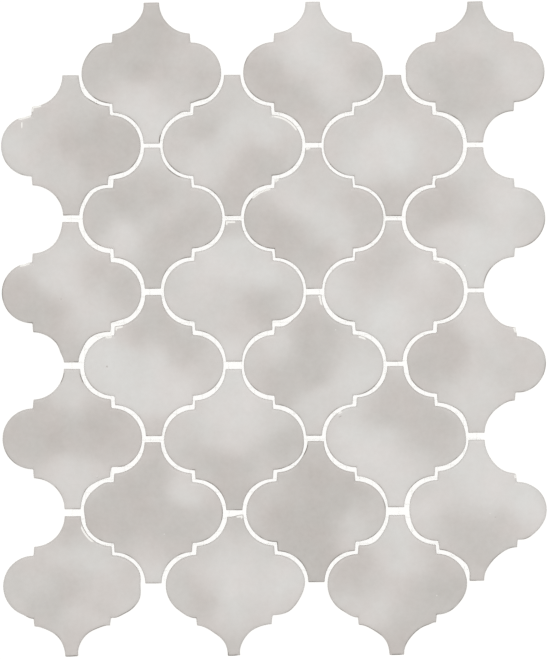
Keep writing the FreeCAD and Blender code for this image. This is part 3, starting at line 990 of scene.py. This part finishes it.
    def build_section(self) -> tuple[list[int], list[int]]:
        """Build the rim and the side wall.

        Returns:
            The vertex numbers of the top ring and of the bottom ring.
        """
        rings = []
        for level in self.levels():
            outline = self.outline.ring(level.inset)
            ring = []
            for index, (x, y) in enumerate(outline):
                before = Vector(outline[index - 1])
                after = Vector(outline[(index + 1) % len(outline)])
                along = (after - before).normalized()
                sway = level.sway * self.glaze_sway * self.wobble(x, y, self.line_wobble)
                ring.append(self.add_point(x, y, self.thickness - level.depth - sway, level.lift,
                                           Vector((-along.y, along.x, 0.0)), level.inset))
            rings.append(ring)
        for upper, lower, level in zip(rings, rings[1:], self.levels()[1:]):
            self.add_band(upper, lower, level.glazed, True)
        return rings[0], rings[-1]

    def fill(self, ring: list[int], extra: list[tuple[float, float, float]], upwards: bool,
             glazed: bool, holes: list[list[int]] | None = None) -> None:
        """Close a ring with triangles over further points, leaving holes open.

        Args:
            ring: Vertex numbers of the closed outer ring.
            extra: Further points inside it, as x, y and lift.
            upwards: Whether the faces look up.
            glazed: Whether the faces are glazed.
            holes: Vertex numbers round each hole.
        """
        z = self.points[ring[0]].z
        numbers = list(ring)
        edges = [(index, (index + 1) % len(ring)) for index in range(len(ring))]
        for hole in holes or []:
            start = len(numbers)
            numbers += hole
            edges += [(start + index, start + (index + 1) % len(hole))
                      for index in range(len(hole))]
        numbers += [self.add_point(x, y, z, lift) for x, y, lift in extra]
        flat = [self.points[number].to_2d() for number in numbers]
        result = geometry.delaunay_2d_cdt(flat, edges, [], 1, 1e-5)
        for corners in result[2]:
            middle = sum((result[0][corner] for corner in corners), Vector((0, 0))) / len(corners)
            if any(self.inside(middle, hole) for hole in holes or []):
                continue
            tile_corners = [numbers[result[3][corner][0]] for corner in corners]
            first, second, third = (self.points[corner].to_2d() for corner in tile_corners[:3])
            anticlockwise = (second - first).cross(third - second) > 0
            if anticlockwise != upwards:
                tile_corners.reverse()
            self.add_face(tile_corners, glazed, upwards)

    def inside(self, place: Vector, hole: list[int]) -> bool:
        """Return whether a place lies in a hole's box."""
        xs = [self.points[number].x for number in hole]
        ys = [self.points[number].y for number in hole]
        return min(xs) < place.x < max(xs) and min(ys) < place.y < max(ys)

    def build_face(self, ring: list[int]) -> None:
        """Cover the top with an even triangular grid, so that it can take the unevenness."""
        grid = []
        row_height = self.face_grid * math.sqrt(3) / 2
        edge = self.rim_width + self.face_grid / 2
        rows = math.floor(self.outline.half_height / row_height)
        for row in range(-rows, rows + 1):
            y = row * row_height
            reach = self.outline.half_width_at(y, edge)
            shift = self.face_grid / 2 if row % 2 else 0.0
            columns = math.floor(self.outline.half_width / self.face_grid)
            for column in range(-columns, columns + 1):
                x = column * self.face_grid + shift
                crowded = any(math.hypot(x - mark.x, (y - mark.y) * self.speck_size / mark.reach)
                              < self.speck_clear for mark in self.specks)
                if abs(x) < reach and not crowded:
                    grid.append((x, y, 1.0))
        grid += [(x, y, 1.0) for mark in self.specks for x, y in self.points_round(mark)]
        self.fill(ring, grid, True, True)

    def build_back(self, ring: list[int]) -> None:
        """Close the back round its pressed keying grooves."""
        holes = []
        reach = self.outline.half_height - self.groove_border - self.groove_width / 2
        rows = math.floor(reach / self.groove_pitch)
        for row in range(-rows, rows + 1):
            y = row * self.groove_pitch
            low, high = y - self.groove_width / 2, y + self.groove_width / 2
            half = min(self.outline.half_width_at(edge, 0.0) for edge in (low, high))
            half -= self.groove_border
            mouth, floor = (
                [self.add_point(x, y, z) for x, y in (
                    (-half + draft, low + draft), (half - draft, low + draft),
                    (half - draft, high - draft), (-half + draft, high - draft))]
                for draft, z in ((0.0, 0.0), (self.groove_draft, self.groove_depth)))
            self.add_band(mouth, floor, False, False)
            self.add_face(reversed(floor), False, False)
            holes.append(mouth)
        self.fill(ring, [], False, False, holes)

    def glaze_depth(self, x: float, y: float) -> float:
        """Return how thick the glaze lies at a place, from 0, thin, to 1, pooled."""
        warped_x = x + self.cloud_warp * self.wobble(x, y, self.warp_x_wobble)
        warped_y = y + self.cloud_warp * self.wobble(x, y, self.warp_y_wobble)
        cloud = 0.0
        mild = self.mild_share
        for spots, weight in ((self.look.pooled, 1.0), (self.look.thick, mild),
                              (self.look.thin, -mild), (self.look.drained, -1.0)):
            for spot in spots:
                away_x = warped_x - spot.value[0] * self.outline.half_width
                away_y = warped_y - spot.value[1] * self.outline.half_height
                distance = (away_x ** 2 + away_y ** 2) / (2 * self.cloud_spread ** 2)
                cloud += weight * math.exp(-distance)
        depth = 0.5 + self.look.batch.value
        depth += self.cloud_strength * math.tanh(self.cloud_steepness * cloud)
        depth += self.drift_strength * self.wobble(x, y, self.drift_wobble)
        depth += self.fleck_strength * self.wobble(x, y, self.fleck_wobble)
        return min(max(depth, 0.0), 1.0)

    def half_speck(self, mark: Mark) -> float:
        """Return half the width of a mark on the face."""
        return self.scratch_size if mark.fault is Fault.SCRATCH else self.speck_size

    def points_round(self, mark: Mark) -> list[Point]:
        """Return close points that draw a mark on the face."""
        if mark.fault is Fault.SCRATCH:
            steps = round(mark.reach / self.scratch_step) + 1
            return [(mark.x + side, mark.y + index * self.scratch_step)
                    for index in range(-steps, steps + 1) for side in self.scratch_sides]
        points = [(mark.x, mark.y)]
        for share in self.speck_rings:
            for index in range(self.speck_points):
                angle = 2 * math.pi * index / self.speck_points
                points.append((mark.x + self.speck_size * share * math.cos(angle),
                               mark.y + mark.reach * share * math.sin(angle)))
        return points

    def gathered(self, number: int) -> float:
        """Return how much painted shade darkens the outermost rim of a lower edge, in patches."""
        point = self.points[number]
        if self.inset[number] > self.rim_width or point.z < self.rim_end:
            return 0.0
        patchy = smooth_step(*self.lower_rim_shade_patches,
                             self.wobble(point.x, point.y, self.lower_rim_shade_wobble))
        return (self.lower_rim_shade_depth * patchy
                * smooth_step(*self.lower_rim_shade_slope, self.inward[number].y)
                * (1 - smooth_step(*self.lower_rim_shade_inset, self.inset[number])))

    def along_edge(self, mark: Mark, place: Vector) -> float:
        """Return 1 at the middle of a mark on the edge, falling to 0 at its ragged ends."""
        distance = (place - Vector((mark.x, mark.y))).length / mark.reach
        wobble = self.wobble(place.x, place.y, self.ragged_wobble)
        return 1 - smooth_step(*self.end_fade, distance + self.end_raggedness * wobble)

    def bare_and_highlight_share(self, mark: Mark, number: int) -> float:
        """Return how pale a mark paints a vertex, from 0 to 1: bare body at specks and scratches,
        painted highlights at pale edge lines and bands, and partly both at chips.
        """
        place = self.points[number].to_2d()
        inset = self.inset[number]
        if mark in self.specks:
            distance = math.hypot((place.x - mark.x) / self.half_speck(mark),
                                  (place.y - mark.y) / mark.reach)
            near = 1 - smooth_step(*self.speck_fade, distance)
            return near * {Fault.SCRATCH: 1.0, Fault.PALE_SPECK: self.faint_share}.get(mark.fault, 0)
        if mark.fault is Fault.PAINTED_HIGHLIGHT_LINE:
            across = abs(inset - self.highlight_inset) / self.highlight_width
            return (1 - smooth_step(*self.bare_and_highlight_fade, across)) * self.along_edge(mark, place)
        if mark.fault in (Fault.PAINTED_HIGHLIGHT_EDGE, Fault.CHIP_AND_HIGHLIGHT):
            across = 1 - smooth_step(*self.bare_and_highlight_fade, inset / self.edge_mark_width)
            return across * self.along_edge(mark, place)
        return 0.0

    def painted_shade_and_pit_share(self, mark: Mark, number: int) -> float:
        """Return how much darker a mark paints the glaze at a vertex, from 0 to 2: painted shade
        along an edge, and a dark dot in a pinhole's pit.
        """
        place = self.points[number].to_2d()
        if mark.fault is Fault.PAINTED_SHADE_EDGE:
            across = 1 - smooth_step(*self.painted_shade_fade, self.inset[number] / self.edge_mark_width)
            return across * mark.depth * self.along_edge(mark, place)
        if mark.fault is Fault.PINHOLE:
            distance = math.dist(place, (mark.x, mark.y)) / mark.reach
            return 1 - smooth_step(*self.speck_fade, distance)
        return 0.0

    def move_edge(self, mark: Mark) -> None:
        """Press the edge in at a nip or chip, or out at a swell, from the face to the back."""
        middle = Vector((mark.x, mark.y))
        way = -1 if mark.fault is Fault.SWELL else 1
        rim = [number for number, inset in enumerate(self.inset) if inset == 0.0]
        nearest = min(rim, key=lambda number: (self.points[number].to_2d() - middle).length)
        inwards = self.inward[nearest].to_2d()
        tangent = Vector((-inwards.y, inwards.x))
        for point in self.points:
            away = point.to_2d() - middle
            share = ((1 - smooth_step(0.0, 1.0, abs(away.dot(tangent)) / mark.reach))
                     * (1 - smooth_step(0.0, mark.fade, abs(away.dot(inwards)))))
            point += (inwards * way * mark.depth * share).to_3d()

    def apply_marks(self) -> tuple[list[float], list[float]]:
        """Show the tile's marks.

        Returns:
            How pale each vertex is painted, from 0 to 1, for bare body and painted highlights, and
            how much darker the marks paint its glaze, for painted shade and pinhole dots.
        """
        bare = [0.0] * len(self.points)
        dark = [0.0] * len(self.points)
        for mark in self.look.marks:
            for number, point in enumerate(self.points):
                if point.z > self.rim_end:
                    bare[number] = max(bare[number], self.bare_and_highlight_share(mark, number))
                    dark[number] = max(dark[number], self.painted_shade_and_pit_share(mark, number))
        for number, share in enumerate(dark):
            if self.inset[number] == math.inf:
                self.points[number].z -= self.pit_depth * share
        for mark in self.look.marks:
            if mark.fault in (Fault.NIP, Fault.SWELL, Fault.CHIP_AND_HIGHLIGHT):
                self.move_edge(mark)
        return bare, dark

    def build_mesh(self, tree: bpy.types.NodeTree) -> bpy.types.Object:
        """Build the tile's mesh and run it through the kiln's unevenness.

        Args:
            tree: The Geometry Nodes tree that makes the surface uneven.

        Returns:
            The finished tile.
        """
        top, bottom = self.build_section()
        self.build_face(top)
        self.build_back(bottom)
        bare, dark = self.apply_marks()
        mesh = bpy.data.meshes.new(self.name)
        place = Vector((self.centre.x, self.centre.y, self.base))
        for nudge in self.look.laid:
            place += Vector(nudge.value).to_3d()
        mesh.from_pydata([(point + place) * MM for point in self.points], [], self.faces)
        mesh.polygons.foreach_set("use_smooth", self.face_is_smooth)
        # The glaze depth also carries painted shade: darker lower rims and dark lines along edges.
        depth = [max(self.glaze_depth(point.x, point.y) + self.gathered(number), dark[number])
                 for number, point in enumerate(self.points)]
        for name, kind, values in (("glaze_depth", "FLOAT", depth), ("bare", "FLOAT", bare),
                                   ("lift", "FLOAT", self.lift)):
            mesh.attributes.new(name, kind, "POINT").data.foreach_set("value", values)
        flat = [value for vector in self.inward for value in vector]
        mesh.attributes.new("inward", "FLOAT_VECTOR", "POINT").data.foreach_set("vector", flat)
        glazed = mesh.attributes.new("glazed", "BOOLEAN", "FACE")
        glazed.data.foreach_set("value", self.face_is_glazed)
        piece = new_piece(f"{self.name}_glazed", mesh)
        run_geometry_tree(piece, tree, {"Seed": float(self.seed)})
        return piece

    def dress(self, piece: bpy.types.Object) -> None:
        """Attach the tile to the root body and hide its plain CAD node."""
        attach(piece, ROOT_BODY)
        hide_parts(self.name)


@dataclass(frozen=True)
class FiredUnevenness:
    """The slight sag and waver that firing gives a pressed and glazed tile."""

    wave_height: float = 0.09
    wave_size: float = 22.0
    edge_wander: float = 0.12
    wander_size: float = 9.0

    def build(self, glaze: bpy.types.Material, bisque: bpy.types.Material) -> bpy.types.NodeTree:
        """Build the tree, which only lowers the face and draws the edge in.

        Args:
            glaze: Material of the faces marked as glazed.
            bisque: Material of all other faces.

        Returns:
            The Geometry Nodes tree.
        """
        tree, given = new_geometry_tree("fired_unevenness", {"Seed": "NodeSocketFloat"})
        lift, inward, glazed = (
            add_node(tree, "GeometryNodeInputNamedAttribute", {"Name": name},
                     data_type=kind).outputs["Attribute"]
            for name, kind in (("lift", "FLOAT"), ("inward", "FLOAT_VECTOR"), ("glazed", "BOOLEAN")))
        wave, wander = (
            add_node(tree, "ShaderNodeTexNoise", {
                "W": given.outputs["Seed"], "Scale": 1 / (size * MM), "Detail": 1.0},
                noise_dimensions="4D").outputs["Fac"]
            for size in (self.wave_size, self.wander_size))
        drop = compute(tree, "MULTIPLY", wave, lift)
        down = add_node(tree, "ShaderNodeCombineXYZ", {
            "Z": compute(tree, "MULTIPLY", drop, -self.wave_height * MM)})
        sideways = add_node(tree, "ShaderNodeVectorMath", {
            0: inward, "Scale": compute(tree, "MULTIPLY", wander, self.edge_wander * MM)},
            operation="SCALE")
        moved = add_node(tree, "GeometryNodeSetPosition", {
            "Geometry": given.outputs["Geometry"],
            "Offset": compute_vector(tree, "ADD", down.outputs[0], sideways.outputs[0])})
        real = add_node(tree, "GeometryNodeRealizeInstances", {
            "Geometry": moved.outputs["Geometry"]})
        bare = add_node(tree, "GeometryNodeSetMaterial", {
            "Geometry": real.outputs["Geometry"], "Material": bisque})
        dressed = add_node(tree, "GeometryNodeSetMaterial", {
            "Geometry": bare.outputs["Geometry"], "Selection": glazed, "Material": glaze})
        add_node(tree, "NodeGroupOutput", {"Geometry": dressed.outputs["Geometry"]})
        return tree


@dataclass
class TileField:
    """All the tiles of the sheet, in the places that the frame gives them."""

    prefix: str = "tile_row_"

    def outline_from_frame(self) -> ArabesqueOutline:
        """Work the outline's sizes and pitches out from the frame's tiles."""
        low, high = (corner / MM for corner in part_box("tile_row_1_left"))
        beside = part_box("tile_row_1_middle")[0] / MM
        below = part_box("tile_row_3_left")[0] / MM
        return ArabesqueOutline((high.x - low.x) / 2, (high.y - low.y) / 2,
                                (beside.x - low.x) / 2, (low.y - below.y) / 2)

    def build(self) -> None:
        """Build and dress every tile."""
        outline = self.outline_from_frame()
        tree = FiredUnevenness().build(GlossGlaze().build(), PressedBisque().build())
        names = sorted(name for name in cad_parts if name.startswith(self.prefix))
        for seed, name in enumerate(names):
            low, high = (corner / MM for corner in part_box(name))
            tile = GlazedTile(name, outline, (low + high) / 2, low.z, high.z - low.z, seed,
                              LOOKS[name])
            piece = tile.build_mesh(tree)
            tile.dress(piece)
            LOG.info("%s: %d faces", piece.name, len(piece.data.polygons))


@dataclass
class BackingNet:
    """Leno-woven glass net: twisted pairs lengthwise, which bind flat yarns crosswise."""

    pitch: float = 6.0
    twist_spread: float = 0.16
    twist_rise: float = 0.15
    strand_width: float = 0.24
    strand_thickness: float = 0.10
    strand_sides: int = 5
    flat_width: float = 0.66
    flat_thickness: float = 0.20
    flat_sides: int = 8
    flat_pinch: float = 0.35
    pinch_sharpness: float = 4.0
    step: float = 1.5

    def centre_lines(self, node: str) -> bpy.types.Mesh:
        """Read a layer's threads from the frame as plain lines.

        Args:
            node: The CAD node of the layer.

        Returns:
            A mesh of one edge for each thread, halfway up the net.
        """
        shape = bmesh.new()
        shape.from_mesh(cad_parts[node].data)
        bmesh.ops.remove_doubles(shape, verts=shape.verts, dist=0.001 * MM)
        waiting = set(shape.verts)
        points = []
        while waiting:
            group = [waiting.pop()]
            for vert in group:
                near = {edge.other_vert(vert) for edge in vert.link_edges} & waiting
                waiting -= near
                group += near
            xs = [vert.co.x for vert in group]
            ys = [vert.co.y for vert in group]
            if node == LENGTHWISE_NODE:
                middle = (min(xs) + max(xs)) / 2
                points.append(((middle, min(ys)), (middle, max(ys))))
            else:
                middle = (min(ys) + max(ys)) / 2
                points.append(((min(xs), middle), (max(xs), middle)))
        shape.free()
        points.sort()
        height = (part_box(LENGTHWISE_NODE)[0].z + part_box(CROSSWISE_NODE)[1].z) / 2
        lines = bpy.data.meshes.new(node)
        lines.from_pydata([(x, y, height) for ends in points for x, y in ends],
                          [(2 * index, 2 * index + 1) for index in range(len(points))], [])
        return lines

    def profile(self, tree: bpy.types.NodeTree, sides: int, width: float,
                thickness: float) -> bpy.types.NodeSocket:
        """Add a yarn's flattened round section to a tree and return its socket."""
        circle = add_node(tree, "GeometryNodeCurvePrimitiveCircle", {
            "Resolution": sides, "Radius": 0.5 * MM})
        flattened = add_node(tree, "GeometryNodeTransform", {
            "Geometry": circle.outputs["Curve"], "Scale": (width, thickness, 1.0)})
        return flattened.outputs["Geometry"]

    def finish_tree(self, tree: bpy.types.NodeTree, shapes: list[bpy.types.NodeSocket],
                    material: bpy.types.Material) -> None:
        """End a tree with its shapes joined, made real and given their material."""
        joined = add_node(tree, "GeometryNodeJoinGeometry", {"Geometry": shapes})
        real = add_node(tree, "GeometryNodeRealizeInstances", {
            "Geometry": joined.outputs["Geometry"]})
        smooth = add_node(tree, "GeometryNodeSetShadeSmooth", {
            "Geometry": real.outputs["Geometry"]})
        dressed = add_node(tree, "GeometryNodeSetMaterial", {
            "Geometry": smooth.outputs["Geometry"], "Material": material})
        add_node(tree, "NodeGroupOutput", {"Geometry": dressed.outputs["Geometry"]})

    def swept(self, tree: bpy.types.NodeTree, curve: bpy.types.NodeSocket,
              section: bpy.types.NodeSocket) -> bpy.types.NodeSocket:
        """Sweep a section along a curve, kept upright, and return the mesh's socket."""
        upright = add_node(tree, "GeometryNodeSetCurveNormal", {"Curve": curve}, mode="Z_UP")
        tube = add_node(tree, "GeometryNodeCurveToMesh", {
            "Curve": upright.outputs["Curve"], "Profile Curve": section, "Fill Caps": True})
        return tube.outputs["Mesh"]

    def start_tree(self, name: str) -> tuple[bpy.types.NodeTree, bpy.types.Node,
                                             bpy.types.NodeSocket]:
        """Start a tree that turns plain lines into evenly spaced curve points.

        Args:
            name: The tree's name.

        Returns:
            The tree, its input node and the curves.
        """
        tree, given = new_geometry_tree(name, {
            "Pitch": "NodeSocketFloat", "Step": "NodeSocketFloat"})
        curve = add_node(tree, "GeometryNodeMeshToCurve", {"Mesh": given.outputs["Geometry"]})
        points = add_node(tree, "GeometryNodeResampleCurve", {
            "Curve": curve.outputs["Curve"], "Length": given.outputs["Step"]}, mode="LENGTH")
        return tree, given, points.outputs["Curve"]

    def crossing_angle(self, tree: bpy.types.NodeTree, given: bpy.types.Node,
                       position: bpy.types.NodeSocket, axis: str) -> bpy.types.NodeSocket:
        """Return an angle that grows by half a turn from one crossing yarn to the next."""
        place = add_node(tree, "ShaderNodeSeparateXYZ", {0: position})
        turns = compute(tree, "DIVIDE", place.outputs[axis], given.outputs["Pitch"])
        return compute(tree, "MULTIPLY", turns, math.pi)

    def twisted_pair_tree(self, material: bpy.types.Material) -> bpy.types.NodeTree:
        """Build the lengthwise pairs, which twist half a turn from one crossing to the next."""
        tree, given, points = self.start_tree("twisted_leno_pair")
        position = add_node(tree, "GeometryNodeInputPosition").outputs["Position"]
        angle = self.crossing_angle(tree, given, position, "Y")
        direction = add_node(tree, "ShaderNodeCombineXYZ", {
            "X": compute(tree, "COSINE", angle), "Z": compute(tree, "SINE", angle)})
        section = self.profile(tree, self.strand_sides, self.strand_width, self.strand_thickness)
        strands = []
        for side in (1, -1):
            reach = (side * self.twist_spread * MM, 0.0, side * self.twist_rise * MM)
            offset = compute_vector(tree, "MULTIPLY", direction.outputs[0], reach)
            moved = add_node(tree, "GeometryNodeSetPosition", {
                "Geometry": points, "Offset": offset})
            strands.append(self.swept(tree, moved.outputs["Geometry"], section))
        self.finish_tree(tree, strands, material)
        return tree

    def flat_yarn_tree(self, material: bpy.types.Material) -> bpy.types.NodeTree:
        """Build the crosswise yarns, which the twisted pairs pinch at each crossing."""
        tree, given, points = self.start_tree("flat_pinched_yarn")
        position = add_node(tree, "GeometryNodeInputPosition").outputs["Position"]
        axis = add_node(tree, "GeometryNodeStoreNamedAttribute", {
            "Geometry": points, "Name": "axis", "Value": position},
            data_type="FLOAT_VECTOR", domain="POINT")
        section = self.profile(tree, self.flat_sides, self.flat_width, self.flat_thickness)
        tube = self.swept(tree, axis.outputs["Geometry"], section)
        stored = add_node(tree, "GeometryNodeInputNamedAttribute", {"Name": "axis"},
                          data_type="FLOAT_VECTOR")
        away = compute_vector(tree, "SUBTRACT", stored.outputs["Attribute"], position)
        angle = self.crossing_angle(tree, given, position, "X")
        pinched = compute(tree, "POWER", compute(tree, "SINE", angle), self.pinch_sharpness)
        only_across = add_node(tree, "ShaderNodeCombineXYZ", {
            "Y": compute(tree, "MULTIPLY", pinched, self.flat_pinch)})
        moved = add_node(tree, "GeometryNodeSetPosition", {
            "Geometry": tube,
            "Offset": compute_vector(tree, "MULTIPLY", away, only_across.outputs[0])})
        self.finish_tree(tree, [moved.outputs["Geometry"]], material)
        return tree

    def build(self) -> None:
        """Build and dress both layers."""
        layers = (
            (LENGTHWISE_NODE, "net_twisted_pairs",
             self.twisted_pair_tree(GlassYarn(YarnRun.LENGTHWISE).build())),
            (CROSSWISE_NODE, "net_flat_yarns",
             self.flat_yarn_tree(GlassYarn(YarnRun.CROSSWISE).build())),
        )
        for node, name, tree in layers:
            piece = new_piece(name, self.centre_lines(node))
            run_geometry_tree(piece, tree, {"Pitch": self.pitch * MM, "Step": self.step * MM})
            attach(piece, ROOT_BODY)
            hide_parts(node)
            LOG.info("%s: %d faces", piece.name, len(piece.data.polygons))


@dataclass
class Studio:
    """Plain pale floor, a soft dome of light, one large soft lamp and the camera above.

    Sizes are in metres here. The camera looks straight down with a long lens, and its place and
    turn follow how the sheet lies in the photograph.
    """

    floor_half_size: float = 3.0
    dome_strength: float = 0.93
    lamp_size: float = 1.8
    lamp_distance: float = 2.0
    lamp_elevation_deg: float = 50.0
    lamp_power: float = 5.5
    camera_sight: float = 50.0
    lens_mm: float = 400.0
    sensor_mm: float = 36.0
    frame_height: float = 0.30275
    camera_x: float = 0.00051
    camera_y: float = -0.00059
    camera_turn_deg: float = -0.29

    def build_floor(self) -> None:
        """Build the floor under the sheet."""
        half = self.floor_half_size
        mesh = bpy.data.meshes.new("studio_floor")
        mesh.from_pydata([(-half, -half, 0), (half, -half, 0), (half, half, 0), (-half, half, 0)],
                         [], [(0, 1, 2, 3)])
        mesh.materials.append(StudioFloor().build())
        new_piece("studio_floor", mesh)

    def build_world(self) -> None:
        """Build a white surround that lights the sheet evenly."""
        world = bpy.data.worlds.new("soft_white_surround")
        world.use_nodes = True
        tree = world.node_tree
        tree.nodes.clear()
        strength = add_node(tree, "ShaderNodeMapRange", {
            "Value": seen_directly(tree), "To Min": self.dome_strength, "To Max": 1.0})
        light = add_node(tree, "ShaderNodeBackground", {
            "Color": (1.0, 1.0, 1.0, 1.0), "Strength": strength.outputs["Result"]})
        add_node(tree, "ShaderNodeOutputWorld", {"Surface": light.outputs["Background"]})
        bpy.context.scene.world = world

    def build_lamp(self) -> None:
        """Hang one large soft lamp over the top edge of the sheet."""
        data = bpy.data.lights.new("soft_lamp", "AREA")
        data.shape = "SQUARE"
        data.size = self.lamp_size
        data.energy = self.lamp_power
        lamp = bpy.data.objects.new("soft_lamp", data)
        angle = math.radians(self.lamp_elevation_deg)
        place = Vector((0, math.cos(angle), math.sin(angle))) * self.lamp_distance
        lamp.matrix_world = (Matrix.Translation(place)
                             @ (-place).to_track_quat("-Z", "Y").to_matrix().to_4x4())
        bpy.context.scene.collection.objects.link(lamp)

    def build_camera(self) -> None:
        """Set the camera straight above the sheet."""
        data = bpy.data.cameras.new("camera_above")
        data.lens = self.lens_mm
        data.sensor_width = self.sensor_mm
        data.clip_end = self.camera_sight
        camera = bpy.data.objects.new("camera_above", data)
        distance = self.frame_height * self.lens_mm / self.sensor_mm
        camera.location = (self.camera_x, self.camera_y, cad_box[1].z + distance)
        camera.rotation_euler = (0.0, 0.0, math.radians(self.camera_turn_deg))
        bpy.context.scene.collection.objects.link(camera)
        bpy.context.scene.camera = camera

    def build(self) -> None:
        """Build the whole studio."""
        self.build_floor()
        self.build_world()
        self.build_lamp()
        self.build_camera()
        bpy.context.scene.view_settings.view_transform = "Standard"


def main() -> None:
    """Build the studio, the tiles and the net."""
    logging.basicConfig(level=logging.INFO, format="%(name)s: %(message)s")
    Studio().build()
    TileField().build()
    BackingNet().build()


if __name__ == "__main__":
    main()
